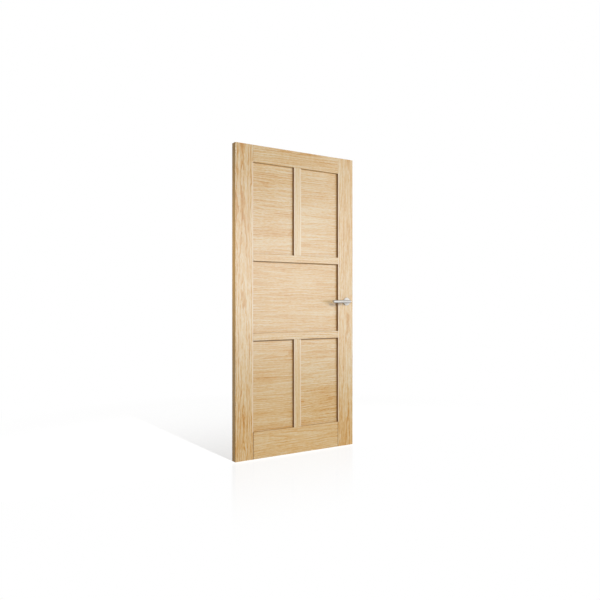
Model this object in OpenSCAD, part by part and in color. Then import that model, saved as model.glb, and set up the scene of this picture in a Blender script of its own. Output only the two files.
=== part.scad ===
// Five-panel oak door leaf with a lever handle on round roses and a mortice latch.
// Millimetres, +Z up. The front face looks towards -Y, the hinge edge is at -X and the lock edge at +X.
// The origin is the middle of the leaf's bottom edge.

/* [Leaf] */
// Width of the leaf over both stiles
leaf_w = 915; // [700:1:1100]
// Height of the leaf
leaf_h = 1981; // [1850:1:2200]
// Thickness of the stiles and rails
leaf_t = 44; // [38:1:54]
// Width of each stile
stile_w = 126; // [110:1:160]
// Height of the top rail
top_rail_h = 107; // [80:1:160]
// Height of each cross rail
cross_rail_h = 47; // [44:1:90]
// Height of the bottom rail
bottom_rail_h = 170; // [130:1:260]
// Width of each muntin
muntin_w = 55; // [44:1:90]
// Height of the middle panel between the cross rails
middle_panel_h = 456; // [350:1:620]
// Radius of the arrises along the stiles, rails and muntins
arris = 1.5; // [0.5:0.1:3]

/* [Panels and joints] */
// Thickness of the flat panels
panel_t = 12; // [11:0.5:16]
// Depth of the groove that holds panels and stub tenons
groove_depth = 12; // [8:0.5:15]
// Clearance on each cheek of a panel or tenon in its groove
groove_play = 0.1; // [0.05:0.05:0.3]
// Room for movement between a panel's edge and the groove's floor
panel_edge_gap = 0.8; // [0.4:0.1:3]
// Gap between a stub tenon's end and the groove's floor
tenon_end_gap = 0.5; // [0.2:0.1:2]
// Diameter of the dowels
dowel_d = 8; // [6:0.5:9.5]
// Length of a dowel between a stile and a rail
rail_dowel_len = 80; // [60:1:110]
// Length of a dowel between a muntin and a rail
muntin_dowel_len = 50; // [40:1:54]
// Spacing of the dowels across a tall rail
dowel_pitch = 46; // [30:1:55]
// Radial clearance of a dowel in its hole
dowel_play = 0.1; // [0.05:0.05:0.2]

/* [Handle] */
// Distance from the lock edge to the spindle
backset = 57; // [50:1:70]
// Height of the spindle above the leaf's bottom edge
spindle_height = 995; // [900:1:1100]
// Side of the square spindle
spindle_size = 8; // [7:0.5:9]
// Length of the spindle beyond each face of the leaf
spindle_reach = 24; // [18:1:28]
// Clearance on each side of the spindle in its square holes
spindle_play = 0.1; // [0.05:0.05:0.2]
// Turn of the lever from rest to its stop, in degrees
lever_turn = 55; // [45:1:60]
// Diameter of the lever's round bar
lever_d = 20; // [18:0.5:22]
// Length of the lever from the spindle to its free end
lever_len = 140; // [100:1:160]
// Distance from the leaf's face to the middle of the lever's bar
lever_stand = 40; // [36:1:60]
// Diameter of the rose
rose_d = 54; // [50:0.5:64]
// Height of the rose above the leaf's face
rose_h = 10; // [9:0.5:14]
// Wall of the rose cover
cover_wall = 1; // [0.8:0.1:1.5]
// Radius of the rose cover's outer edge
cover_edge = 1.6; // [0.8:0.1:2.5]
// Diameter of the lever's journal in its bush
journal_d = 15; // [14:0.5:16]
// Running clearance of the journal in its bush
journal_play = 0.06; // [0.02:0.02:0.1]
// Wall of the neck bush
bush_wall = 1.4; // [1:0.1:2]
// Distance between the two through bolts
bolt_centres = 38; // [36:0.5:40]
// Diameter of the through bolts
bolt_d = 4; // [3.5:0.5:5]
// Diameter of the threaded posts on the front rose base
post_d = 6.2; // [6:0.2:7]
// Diameter of the spring wire in the roses
return_wire_d = 1.3; // [1:0.1:1.5]

/* [Latch] */
// Projection of the latch bolt from the lock edge
bolt_throw = 10; // [9:0.5:12]
// Height of the latch bolt
bolt_h = 19; // [14:0.5:20]
// Thickness of the latch case
case_t = 14; // [13:0.5:18]
// Wall of the latch case
case_wall = 1.2; // [1:0.1:1.6]
// Length of the latch case behind the spindle
case_tail = 19; // [18:0.5:24]
// Height of the forend plate
forend_h = 60; // [54:1:80]
// Width of the forend plate
forend_w = 24; // [20:0.5:28]
// Thickness of the forend plate
forend_t = 3; // [2:0.5:4]
// Diameter of the forend screws
forend_screw_d = 3.5; // [3:0.5:4.5]
// Length of the forend screws
forend_screw_len = 22; // [16:1:30]
// Diameter of the bolt spring's wire
bolt_wire_d = 1; // [0.8:0.1:1.2]
// Outer diameter of the bolt spring
bolt_spring_d = 8.8; // [7:0.2:10]

/* [Hidden] */
$fn = 64;

oak = "#d9bb8e";
oak_panel = "#dfc399";
beech = "#d8b58a";
satin_steel = "#c9c8c4";
zinc = "#9fa1a3";
nylon = "#e8e6df";
spring_steel = "#6f7275";

// Shared clearances
cut_over = 1;
seat_gap = 0.1;
running_gap = 0.2;
moving_gap = 0.3;
mortice_play = 0.2;

// Leaf
FRONT = -1;
REAR = 1;
LEFT = -1;
RIGHT = 1;
lock_x = leaf_w / 2;
rail_len = leaf_w - 2 * stile_w;
groove_w = panel_t + 2 * groove_play;
tenon_t = groove_w - 2 * groove_play;
tenon_len = groove_depth - tenon_end_gap;
side_panel_h = (leaf_h - top_rail_h - bottom_rail_h - 2 * cross_rail_h - middle_panel_h) / 2;
side_panel_w = (rail_len - muntin_w) / 2;
lower_cross_z = bottom_rail_h + side_panel_h;
middle_panel_z = lower_cross_z + cross_rail_h;
upper_cross_z = middle_panel_z + middle_panel_h;
upper_panel_z = upper_cross_z + cross_rail_h;
top_rail_z = leaf_h - top_rail_h;
dowel_end_gap = 0.5;
dowel_bevel = 1;

// Heights of the dowels in each rail, spread about the middle of its tenon
bottom_dowel_z = [for (i = [-1:1]) (bottom_rail_h - groove_depth) / 2 + i * dowel_pitch];
lower_cross_dowel_z = [lower_cross_z + cross_rail_h / 2];
upper_cross_dowel_z = [upper_cross_z + cross_rail_h / 2];
top_dowel_z = [for (i = [-1, 1]) top_rail_z + (top_rail_h + groove_depth) / 2 + i * dowel_pitch / 2];
rail_dowel_z = concat(bottom_dowel_z, lower_cross_dowel_z, upper_cross_dowel_z, top_dowel_z);
// Heights of the four joints between a muntin and a rail
muntin_dowel_z = [bottom_rail_h, lower_cross_z, upper_panel_z, top_rail_z];

// Handle, measured outwards from the leaf's face
spindle_x = lock_x - backset;
spindle_hole = spindle_size + 2 * spindle_play;
spindle_corner = spindle_hole / sqrt(2);
spindle_bore_play = 3;
spindle_bore_r = spindle_corner + spindle_bore_play;
lever_r = lever_d / 2;
lever_end_bevel = 1;
journal_r = journal_d / 2;
bush_in = journal_r + journal_play;
bush_out = bush_in + bush_wall;
boss_wall = 1.5;
boss_r = bush_out + seat_gap / 2 + boss_wall;
base_h = rose_h - cover_wall - seat_gap;
base_r = rose_d / 2 - cover_wall - seat_gap;
base_front = 2.2;
cover_hole = lever_r + moving_gap;
clip_t = 0.7;
clip_z = 0.5;
clip_groove_depth = 0.7;
clip_groove_r = journal_r - clip_groove_depth;
clip_proud = 1.7;
clip_r = journal_r + clip_proud;
washer_z = clip_z + clip_t + seat_gap;
washer_t = 1.2;
boss_z = washer_z + washer_t + running_gap;
journal_z = 0.3;
neck_z = base_h + running_gap;
flat_depth = 1.2;
flat_half = journal_r - flat_depth;
post_r = post_d / 2;
post_short = 14;
post_len = leaf_t - post_short;
post_play = 0.4;
post_hole_r = post_r + post_play;
cavity_wall = 0.5;
cavity_r = bolt_centres / 2 - post_r - cavity_wall;
return_wire_r = return_wire_d / 2;
return_play = 0.8;
return_r = boss_r + return_play + return_wire_r;
return_turns = 1.6;
return_low = boss_z + moving_gap + return_wire_r;
return_high = base_h - base_front - moving_gap - return_wire_r;
return_hook = 1;
hook_slot = 1.6;
tab_play = 0.5;
tab_r = cavity_r - tab_play;
tab_w = 4;
tab_angle = 180;
spring_leg_angle = tab_angle + asin((tab_w / 2 + return_wire_r + moving_gap) / return_r);
stop_w = 2.5;
stop_play = 0.6;
grub_rise = 6;
grub_z = rose_h + grub_rise;
grub_r = 2.5;
grub_play = 0.1;
grub_sunk = 0.6;
grub_socket_d = 2.9;
bolt_r = bolt_d / 2;
bolt_head_lip = 1.7;
bolt_head_r = bolt_r + bolt_head_lip;
bolt_head_h = 2.4;
bolt_grip = 16;

// Latch, measured from the spindle
arm_r = bolt_throw / (2 * sin(lever_turn / 2));
nose_r = 1.2;
arm_w = 1.7;
arm_t = 4;
hub_wall = 1.1;
hub_r = spindle_corner + hub_wall;
collar_lip = 0.6;
collar_r = hub_r + collar_lip;
nose_room = 0.35;
case_in = arm_r + nose_r + nose_room;
case_h = 2 * (case_in + case_wall);
case_in_t = case_t - 2 * case_wall;
case_front = backset - forend_t;
guide_h = 2 * (case_in - moving_gap);
guide_len = 5;
guide_x = case_front - moving_gap - guide_len;
bolt_w = case_in_t - 2 * moving_gap;
bolt_tip = 2;
tail_dip = 0.35;
tail_low = arm_r * cos(lever_turn / 2) - tail_dip;
tail_high = guide_h / 2;
tail_cheek = 1;
tail_w = bolt_w - 2 * tail_cheek;
window_play = 0.4;
window_half = nose_r + window_play;
window_x = arm_r * sin(lever_turn / 2);
tail_lip = 2.5;
tail_end = window_x - window_half - tail_lip;
bridge_gap = 3.5;
bridge_x = collar_r + bridge_gap;
bridge_t = 1.5;
bolt_spring_r = (bolt_spring_d - bolt_wire_d) / 2;
bolt_spring_turns = 9;
bolt_spring_from = bridge_x + bridge_t + seat_gap;
bolt_spring_to = guide_x - seat_gap;
rivet_r = 1.5;
rivet_edge = 1.5;
rivet_z = rivet_r + rivet_edge - case_in;
rivet_inset = 2.5;
rivet_ahead = 8;
rivet_x = [rivet_r + rivet_inset + case_wall - case_tail, bridge_x + bridge_t + rivet_ahead];
screw_edge = 8;
screw_z = forend_h / 2 - screw_edge;
screw_r = forend_screw_d / 2;
screw_head_lip = 1.85;
screw_head_r = screw_r + screw_head_lip;
screw_head_h = 2;
screw_play = 0.1;
cross_w = 0.8;
cross_reach = 0.6;

// A board with rounded arrises and a groove in either edge: width along X from 0, thickness along Y, length along Z
module board(length, width, groove_near, groove_far) {
  half = leaf_t / 2;
  linear_extrude(length)
    difference() {
      union() {
        translate([arris, -half]) square([width - 2 * arris, leaf_t]);
        translate([0, arris - half]) square([width, leaf_t - 2 * arris]);
        for (x = [arris, width - arris], y = [arris - half, half - arris]) translate([x, y]) circle(arris);
      }
      if (groove_near) edge_groove(-cut_over);
      if (groove_far) edge_groove(width - groove_depth);
    }
}

// The section of a groove that starts at the given place across a board and runs out of one edge
module edge_groove(start) {
  translate([start, -groove_w / 2]) square([groove_depth + cut_over, groove_w]);
}

// A box given by its lowest and highest corners
module block(low, high) {
  translate(low) cube(high - low);
}

// A dowel along Z, centred, with bevelled ends
module dowel(length) {
  straight = length - 2 * dowel_bevel;
  translate([0, 0, -straight / 2]) cylinder(d = dowel_d, h = straight);
  for (end = [0, 1])
    mirror([0, 0, end])
      translate([0, 0, straight / 2])
        cylinder(d1 = dowel_d, d2 = dowel_d - dowel_bevel, h = dowel_bevel);
}

// A dowel's hole along Z, centred
module dowel_hole(length) {
  cylinder(r = dowel_d / 2 + dowel_play, h = length + 2 * dowel_end_gap, center = true);
}

// Puts a dowel or its hole at each rail joint of one stile
module at_rail_joints(side, heights) {
  for (z = heights)
    translate([side * rail_len / 2, 0, z]) rotate([0, 90, 0]) children();
}

// A rail between the stiles, with stub tenons as tall as its grooves leave
module rail(z, height, groove_below, groove_above, dowel_heights) {
  low = z + (groove_below ? groove_depth : 0);
  high = z + height - (groove_above ? groove_depth : 0);
  reach = rail_len / 2 + tenon_len;
  difference() {
    union() {
      translate([rail_len / 2, 0, z])
        rotate([0, -90, 0])
          board(rail_len, height, groove_below, groove_above);
      for (side = [LEFT, RIGHT])
        block(
          [side > 0 ? rail_len / 2 - cut_over : -reach, -tenon_t / 2, low],
          [side > 0 ? reach : cut_over - rail_len / 2, tenon_t / 2, high]
        );
    }
    for (side = [LEFT, RIGHT]) at_rail_joints(side, dowel_heights) dowel_hole(rail_dowel_len);
    for (joint = muntin_dowel_z)
      if (joint == z || joint == z + height)
        translate([0, 0, joint]) dowel_hole(muntin_dowel_len);
  }
}

// A muntin between two rails, grooved on both edges, with stub tenons at its ends
module muntin(z) {
  core = muntin_w - 2 * groove_depth;
  difference() {
    union() {
      translate([-muntin_w / 2, 0, z]) board(side_panel_h, muntin_w, true, true);
      block(
        [-core / 2, -tenon_t / 2, z - tenon_len],
        [core / 2, tenon_t / 2, z + side_panel_h + tenon_len]
      );
    }
    for (joint = [z, z + side_panel_h])
      translate([0, 0, joint]) dowel_hole(muntin_dowel_len);
  }
}

// A flat panel over an opening, with its edges in the grooves
module panel(x, z, width, height) {
  lap = groove_depth - panel_edge_gap;
  color(oak_panel)
    block([x - lap, -panel_t / 2, z - lap], [x + width + lap, panel_t / 2, z + height + lap]);
}

// A round wire swept along points that turn about Z, closed at both ends
module wire(points, radius) {
  sides = 8;
  last = len(points) - 1;
  rings = [
    for (i = [0:last])
      let (
        ahead = points[min(i + 1, last)] - points[max(i - 1, 0)],
        along = ahead / norm(ahead),
        out = cross(along, [0, 0, 1]),
        across = out / norm(out),
        up = cross(across, along)
      )
      for (k = [0:sides - 1])
        points[i] + radius * (cos(360 * k / sides) * across + sin(360 * k / sides) * up)
  ];
  walls = [
    for (i = [0:last - 1], k = [0:sides - 1])
      let (a = i * sides, b = a + sides, n = (k + 1) % sides)
      each [[a + k, a + n, b + n], [a + k, b + n, b + k]]
  ];
  first_cap = [[for (k = [0:sides - 1]) sides - 1 - k]];
  last_cap = [[for (k = [0:sides - 1]) last * sides + k]];
  polyhedron(rings, concat(walls, first_cap, last_cap));
}

// Places a part that is drawn with X to the lock edge, Y up and Z out of the leaf's face
module on_face(side) {
  translate([spindle_x, side * leaf_t / 2, spindle_height])
    if (side == FRONT) rotate([90, 0, 0]) children();
    else mirror([0, 1, 0]) rotate([90, 0, 0]) children();
}

// Places a part that is drawn about the spindle at mid-thickness
module at_spindle() {
  translate([spindle_x, 0, spindle_height]) children();
}

// Runs a shape drawn with X and Y through the leaf, with its Y upwards and centred on mid-thickness
module through_leaf(length) {
  rotate([90, 0, 0]) linear_extrude(length, center = true) children();
}

module hinge_stile() {
  color(oak)
    difference() {
      translate([-lock_x, 0, 0]) board(leaf_h, stile_w, false, true);
      at_rail_joints(LEFT, rail_dowel_z) dowel_hole(rail_dowel_len);
    }
}

module lock_stile() {
  color(oak)
    difference() {
      translate([lock_x - stile_w, 0, 0]) board(leaf_h, stile_w, true, false);
      at_rail_joints(RIGHT, rail_dowel_z) dowel_hole(rail_dowel_len);
      at_spindle() latch_mortice();
      at_spindle() handle_bores();
    }
}

// The latch's mortice, the forend's recess and the forend screws' pilot holes
module latch_mortice() {
  half_t = case_t / 2 + mortice_play;
  half_h = case_h / 2 + mortice_play;
  half_fw = forend_w / 2 + mortice_play;
  half_fh = forend_h / 2 + mortice_play;
  block([-case_tail - mortice_play, -half_t, -half_h], [backset + cut_over, half_t, half_h]);
  block([case_front, -half_fw, -half_fh], [backset + cut_over, half_fw, half_fh]);
  for (z = [-screw_z, screw_z])
    translate([backset, 0, z])
      rotate([0, -90, 0])
        cylinder(r = screw_r + screw_play, h = forend_screw_len + screw_play);
}

// The spindle's bore and the bolt holes, right through the stile
module handle_bores() {
  through_leaf(leaf_t + 2 * cut_over) {
    circle(spindle_bore_r);
    for (y = [-1, 1]) translate([0, y * bolt_centres / 2]) circle(post_hole_r);
  }
}

module top_rail() {
  color(oak) rail(top_rail_z, top_rail_h, true, false, top_dowel_z);
}

module upper_cross_rail() {
  color(oak) rail(upper_cross_z, cross_rail_h, true, true, upper_cross_dowel_z);
}

module lower_cross_rail() {
  color(oak) rail(lower_cross_z, cross_rail_h, true, true, lower_cross_dowel_z);
}

module bottom_rail() {
  color(oak) rail(0, bottom_rail_h, false, true, bottom_dowel_z);
}

module upper_muntin() {
  color(oak) muntin(upper_panel_z);
}

module lower_muntin() {
  color(oak) muntin(bottom_rail_h);
}

module upper_left_panel() {
  panel(-rail_len / 2, upper_panel_z, side_panel_w, side_panel_h);
}

module upper_right_panel() {
  panel(muntin_w / 2, upper_panel_z, side_panel_w, side_panel_h);
}

module middle_panel() {
  panel(-rail_len / 2, middle_panel_z, rail_len, middle_panel_h);
}

module lower_left_panel() {
  panel(-rail_len / 2, bottom_rail_h, side_panel_w, side_panel_h);
}

module lower_right_panel() {
  panel(muntin_w / 2, bottom_rail_h, side_panel_w, side_panel_h);
}

module rail_dowels() {
  color(beech)
    for (side = [LEFT, RIGHT]) at_rail_joints(side, rail_dowel_z) dowel(rail_dowel_len);
}

module muntin_dowels() {
  color(beech)
    for (z = muntin_dowel_z) translate([0, 0, z]) dowel(muntin_dowel_len);
}

// Half of space beside the mitre between the neck and the bar: the bar's side is above, the neck's below
module mitre_side(above) {
  size = 2 * (lever_len + lever_stand);
  translate([0, 0, lever_stand])
    rotate([0, -45, 0])
      translate([-size / 2, -size / 2, above ? 0 : -size])
        cube(size);
}

// A round bar mitred to its neck, with a journal, a clip groove, flats and a square socket
module lever() {
  bar_straight = lever_len - lever_end_bevel;
  difference() {
    union() {
      intersection() {
        translate([0, 0, neck_z]) cylinder(r = lever_r, h = lever_stand + lever_r - neck_z);
        mitre_side(false);
      }
      intersection() {
        translate([lever_r, 0, lever_stand])
          rotate([0, -90, 0])
            cylinder(r = lever_r, h = bar_straight + lever_r);
        mitre_side(true);
      }
      translate([-bar_straight, 0, lever_stand])
        rotate([0, -90, 0])
          cylinder(r1 = lever_r, r2 = lever_r - lever_end_bevel, h = lever_end_bevel);
      translate([0, 0, journal_z]) cylinder(r = journal_r, h = neck_z - journal_z + cut_over);
    }
    spindle_socket();
    journal_flats();
    difference() {
      translate([0, 0, clip_z - seat_gap / 2]) cylinder(r = journal_r + cut_over, h = clip_t + seat_gap);
      cylinder(r = clip_groove_r, h = rose_h);
    }
    translate([0, -lever_r - cut_over, grub_z])
      rotate([-90, 0, 0])
        cylinder(r = grub_r, h = lever_r + cut_over - spindle_hole / 2 + spindle_play);
  }
}

// The square socket that takes the spindle
module spindle_socket() {
  half = spindle_hole / 2;
  block([-half, -half, 0], [half, half, spindle_reach + seat_gap]);
}

// What is cut off the journal's end so that the washer can drive it
module journal_flats() {
  for (side = [0, 1])
    mirror([0, side, 0])
      block([-lever_d, flat_half, 0], [lever_d, lever_d, boss_z - seat_gap]);
}

module front_lever() {
  color(satin_steel) on_face(FRONT) lever();
}

module rear_lever() {
  color(satin_steel) on_face(REAR) lever();
}

// A pressed cup over the rose base, open to the leaf, with a round hole for the neck
module rose_cover() {
  outer = rose_d / 2;
  rotate_extrude()
    difference() {
      union() {
        square([outer - cover_edge, rose_h]);
        square([outer, rose_h - cover_edge]);
        translate([outer - cover_edge, rose_h - cover_edge]) circle(cover_edge);
      }
      translate([0, -cut_over]) square([outer - cover_wall, rose_h - cover_wall + cut_over]);
      square([cover_hole, rose_h + cut_over]);
    }
}

module front_rose_cover() {
  color(satin_steel) on_face(FRONT) rose_cover();
}

module rear_rose_cover() {
  color(satin_steel) on_face(REAR) rose_cover();
}

// The spring cassette behind a rose cover: a cup with a bush boss, two lever stops and a slot for the spring's leg
module rose_base() {
  edge = cover_edge;
  slot_w = return_wire_d + 2 * seat_gap;
  difference() {
    union() {
      cylinder(r = base_r, h = base_h - edge);
      cylinder(r = base_r - edge, h = base_h);
    }
    difference() {
      translate([0, 0, -cut_over]) cylinder(r = cavity_r, h = base_h - base_front + cut_over);
      translate([0, 0, boss_z]) cylinder(r = boss_r, h = base_h);
      for (angle = [tab_angle, tab_angle + lever_turn]) lever_stop(angle);
    }
    translate([0, 0, -cut_over]) cylinder(r = bush_out + seat_gap / 2, h = base_h + 2 * cut_over);
    rotate([0, 0, spring_leg_angle - 360 * return_turns])
      block([return_r, -slot_w / 2, -cut_over], [cavity_r + hook_slot, slot_w / 2, base_h - base_front]);
  }
}

// A stop beside the tab's resting place or beside its place at full turn
module lever_stop(angle) {
  resting = angle == tab_angle;
  near = tab_w / 2 + moving_gap;
  low = resting ? -near - stop_w : near;
  rotate([0, 0, angle])
    block([return_r + return_wire_r + stop_play, low, 0], [cavity_r + cut_over, low + stop_w, boss_z]);
}

// The front base carries the threaded posts, and the rear base takes the bolts' heads
module front_rose_base() {
  color(zinc)
    on_face(FRONT) {
      rose_base();
      for (y = [-1, 1])
        translate([0, y * bolt_centres / 2, -post_len])
          difference() {
            cylinder(r = post_r, h = post_len + cut_over);
            translate([0, 0, -cut_over])
              cylinder(r = bolt_r + seat_gap / 2, h = bolt_grip + 2 * cut_over);
          }
    }
}

module rear_rose_base() {
  color(zinc)
    on_face(REAR)
      difference() {
        rose_base();
        for (y = [-1, 1])
          translate([0, y * bolt_centres / 2, -cut_over]) {
            cylinder(r = bolt_r + seat_gap, h = base_h + 2 * cut_over);
            translate([0, 0, base_h - bolt_head_h + cut_over])
              cylinder(r = bolt_head_r + seat_gap, h = bolt_head_h + cut_over);
          }
      }
}

// A plain bush that carries the journal
module neck_bush() {
  color(nylon)
    translate([0, 0, boss_z])
      difference() {
        cylinder(r = bush_out, h = base_h - boss_z);
        translate([0, 0, -cut_over]) cylinder(r = bush_in, h = base_h);
      }
}

module front_neck_bush() {
  on_face(FRONT) neck_bush();
}

module rear_neck_bush() {
  on_face(REAR) neck_bush();
}

// A torsion spring round the boss, with one leg in the base's slot and one leg beside the washer's finger
module return_spring() {
  steps = 40;
  start = spring_leg_angle - 360 * return_turns;
  coil = [
    for (i = [0:steps])
      let (t = i / steps, a = start + 360 * return_turns * t)
      [return_r * cos(a), return_r * sin(a), return_high + (return_low - return_high) * t]
  ];
  fixed_leg = (cavity_r + return_hook) * [cos(start), sin(start), 0] + [0, 0, return_high];
  free_leg = (tab_r - seat_gap) * [cos(spring_leg_angle), sin(spring_leg_angle), 0] + [0, 0, return_low];
  color(spring_steel) wire(concat([fixed_leg], coil, [free_leg]), return_wire_r);
}

module front_return_spring() {
  on_face(FRONT) return_spring();
}

module rear_return_spring() {
  on_face(REAR) return_spring();
}

// A washer that the journal's flats turn, with a tab and a finger that push the return spring
module drive_washer() {
  finger_r = return_r + return_wire_r + moving_gap;
  flats = flat_half + seat_gap / 2;
  color(spring_steel)
    translate([0, 0, washer_z])
      difference() {
        union() {
          cylinder(r = boss_r, h = washer_t);
          rotate([0, 0, tab_angle]) {
            block([0, -tab_w / 2, 0], [tab_r, tab_w / 2, washer_t]);
            block([finger_r, -tab_w / 2, 0], [tab_r, tab_w / 2, return_low + return_wire_r - washer_z]);
          }
        }
        intersection() {
          cylinder(r = journal_r + seat_gap / 2, h = 4 * washer_t, center = true);
          block([-lever_d, -flats, -lever_d], [lever_d, flats, lever_d]);
        }
      }
}

module front_drive_washer() {
  on_face(FRONT) drive_washer();
}

module rear_drive_washer() {
  on_face(REAR) drive_washer();
}

// An open ring in the journal's groove
module circlip() {
  mouth = clip_groove_r;
  color(spring_steel)
    translate([0, 0, clip_z])
      difference() {
        cylinder(r = clip_r, h = clip_t);
        translate([0, 0, -cut_over]) cylinder(r = clip_groove_r + seat_gap / 2, h = clip_t + 2 * cut_over);
        block([0, -mouth / 2, -cut_over], [2 * clip_r, mouth / 2, clip_t + cut_over]);
      }
}

module front_circlip() {
  on_face(FRONT) circlip();
}

module rear_circlip() {
  on_face(REAR) circlip();
}

// A socket screw in the underside of the neck, bearing on the spindle
module grub_screw() {
  length = lever_r - spindle_size / 2 - grub_sunk;
  color(spring_steel)
    translate([0, -spindle_size / 2, grub_z])
      rotate([90, 0, 0])
        difference() {
          cylinder(r = grub_r - grub_play, h = length);
          translate([0, 0, length / 2]) cylinder(d = grub_socket_d, h = length, $fn = 6);
        }
}

module front_grub_screw() {
  on_face(FRONT) grub_screw();
}

module rear_grub_screw() {
  on_face(REAR) grub_screw();
}

module spindle() {
  half = spindle_size / 2;
  reach = leaf_t / 2 + spindle_reach;
  color(spring_steel)
    at_spindle() block([-half, -reach, -half], [half, reach, half]);
}

// Two bolts from the rear base into the front base's posts
module through_bolts() {
  seat = base_h - bolt_head_h;
  shank = seat + leaf_t - post_len + bolt_grip;
  color(spring_steel)
    on_face(REAR)
      for (y = [-1, 1])
        translate([0, y * bolt_centres / 2, seat])
          difference() {
            union() {
              cylinder(r = bolt_head_r, h = bolt_head_h - seat_gap);
              translate([0, 0, -shank]) cylinder(r = bolt_r, h = shank + seat_gap);
            }
            cross_recess(bolt_head_r, bolt_head_h);
          }
}

// A cross cut into a screw head that reaches up to the given height
module cross_recess(radius, height) {
  reach = cross_reach * radius;
  for (turn = [0, 90])
    rotate([0, 0, turn])
      block([-reach, -cross_w / 2, height / 2], [reach, cross_w / 2, height + cut_over]);
}

// The case's tray: a front plate, three walls, a bridge that the bolt spring bears on, and rivet holes
module latch_case() {
  color(zinc)
    at_spindle()
      difference() {
        block([-case_tail, -case_t / 2, -case_h / 2], [case_front, case_t / 2 - case_wall, case_h / 2]);
        difference() {
          block(
            [case_wall - case_tail, case_wall - case_t / 2, -case_in],
            [case_front + cut_over, case_t, case_in]
          );
          block(
            [bridge_x, -case_t, -case_in - cut_over],
            [bridge_x + bridge_t, case_t, tail_low - 2 * moving_gap]
          );
        }
        case_holes();
      }
}

// The case's lid, riveted on
module latch_cap() {
  color(zinc)
    at_spindle()
      difference() {
        block([-case_tail, case_t / 2 - case_wall, -case_h / 2], [case_front, case_t / 2, case_h / 2]);
        case_holes();
      }
}

// The follower's bearing and the rivets' holes, through both plates
module case_holes() {
  through_leaf(case_t + 2 * cut_over) {
    circle(hub_r + seat_gap);
    for (x = rivet_x) translate([x, rivet_z]) circle(rivet_r + seat_gap / 2);
  }
}

module cap_rivets() {
  color(spring_steel)
    at_spindle()
      for (x = rivet_x) translate([x, 0, rivet_z]) through_leaf(case_t) circle(rivet_r);
}

// A bevelled bolt with a guide block behind the forend and a tail whose window takes the follower's arm
module latch_bolt() {
  side = bolt_w / 2;
  color(satin_steel)
    at_spindle()
      difference() {
        union() {
          linear_extrude(bolt_h, center = true)
            polygon([
              [guide_x, -side], [backset, -side], [backset + bolt_throw, side - bolt_tip],
              [backset + bolt_throw, side], [guide_x, side]
            ]);
          block([guide_x, -side, -guide_h / 2], [guide_x + guide_len, side, guide_h / 2]);
          block([tail_end, -tail_w / 2, tail_low], [guide_x + cut_over, tail_w / 2, tail_high]);
        }
        block(
          [window_x - window_half, -arm_t / 2 - moving_gap, 0],
          [window_x + window_half, arm_t / 2 + moving_gap, case_h]
        );
      }
}

// A compression spring between the case's bridge and the bolt's guide block, drawn along Z and then laid along X
module bolt_spring() {
  steps = 16 * bolt_spring_turns;
  wire_r = bolt_wire_d / 2;
  low = bolt_spring_from + wire_r;
  high = bolt_spring_to - wire_r;
  coil = [
    for (i = [0:steps])
      let (a = 360 * bolt_spring_turns * i / steps)
      [bolt_spring_r * cos(a), bolt_spring_r * sin(a), low + (high - low) * i / steps]
  ];
  color(spring_steel) at_spindle() rotate([0, 90, 0]) wire(coil, wire_r);
}

// A hub with a square hole and one arm, which leans towards the bolt by half the lever's turn
module follower() {
  color(zinc)
    at_spindle()
      difference() {
        union() {
          through_leaf(case_t) circle(hub_r);
          through_leaf(case_in_t - 2 * moving_gap) circle(collar_r);
          through_leaf(arm_t)
            rotate(-lever_turn / 2) {
              translate([-arm_w / 2, 0]) square([arm_w, arm_r]);
              translate([0, arm_r]) circle(nose_r);
            }
        }
        through_leaf(case_t + 2 * cut_over) square(spindle_hole, center = true);
      }
}

// The plate in the lock edge, with the bolt's window and countersunk holes
module forend() {
  half_w = bolt_w / 2 + moving_gap;
  half_h = bolt_h / 2 + moving_gap;
  color(satin_steel)
    at_spindle()
      difference() {
        block([case_front, -forend_w / 2, -forend_h / 2], [backset, forend_w / 2, forend_h / 2]);
        block([0, -half_w, -half_h], [backset + cut_over, half_w, half_h]);
        for (z = [-screw_z, screw_z]) translate([backset, 0, z]) rotate([0, 90, 0]) screw_shape(screw_play);
      }
}

// A countersunk wood screw along Z with its head's face at Z = 0, or its hole when grown by a clearance
module screw_shape(grow) {
  translate([0, 0, -screw_head_h])
    cylinder(r1 = screw_r + grow, r2 = screw_head_r + grow, h = screw_head_h);
  translate([0, 0, -forend_screw_len]) cylinder(r = screw_r + grow, h = forend_screw_len - screw_head_h);
}

module forend_screws() {
  color(satin_steel)
    at_spindle()
      for (z = [-screw_z, screw_z])
        translate([backset, 0, z])
          rotate([0, 90, 0])
            difference() {
              screw_shape(0);
              translate([0, 0, -screw_head_h]) cross_recess(screw_head_r, screw_head_h);
            }
}

hinge_stile();
lock_stile();
top_rail();
upper_cross_rail();
lower_cross_rail();
bottom_rail();
upper_muntin();
lower_muntin();
upper_left_panel();
upper_right_panel();
middle_panel();
lower_left_panel();
lower_right_panel();
rail_dowels();
muntin_dowels();
front_lever();
rear_lever();
front_rose_cover();
rear_rose_cover();
front_rose_base();
rear_rose_base();
front_neck_bush();
rear_neck_bush();
front_return_spring();
rear_return_spring();
front_drive_washer();
rear_drive_washer();
front_circlip();
rear_circlip();
front_grub_screw();
rear_grub_screw();
spindle();
through_bolts();
latch_case();
latch_cap();
cap_rivets();
latch_bolt();
bolt_spring();
follower();
forend();
forend_screws();
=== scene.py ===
"""Looks of a five-panel oak door leaf with its lever handles and latch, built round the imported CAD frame.

Everything is in metres in the frame's own axes: the front face looks towards -Y, the lock edge is at +X and
Z is up.
"""

import logging
import math
from collections.abc import Mapping, Sequence
from dataclasses import dataclass, field, replace
from enum import Enum

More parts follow.
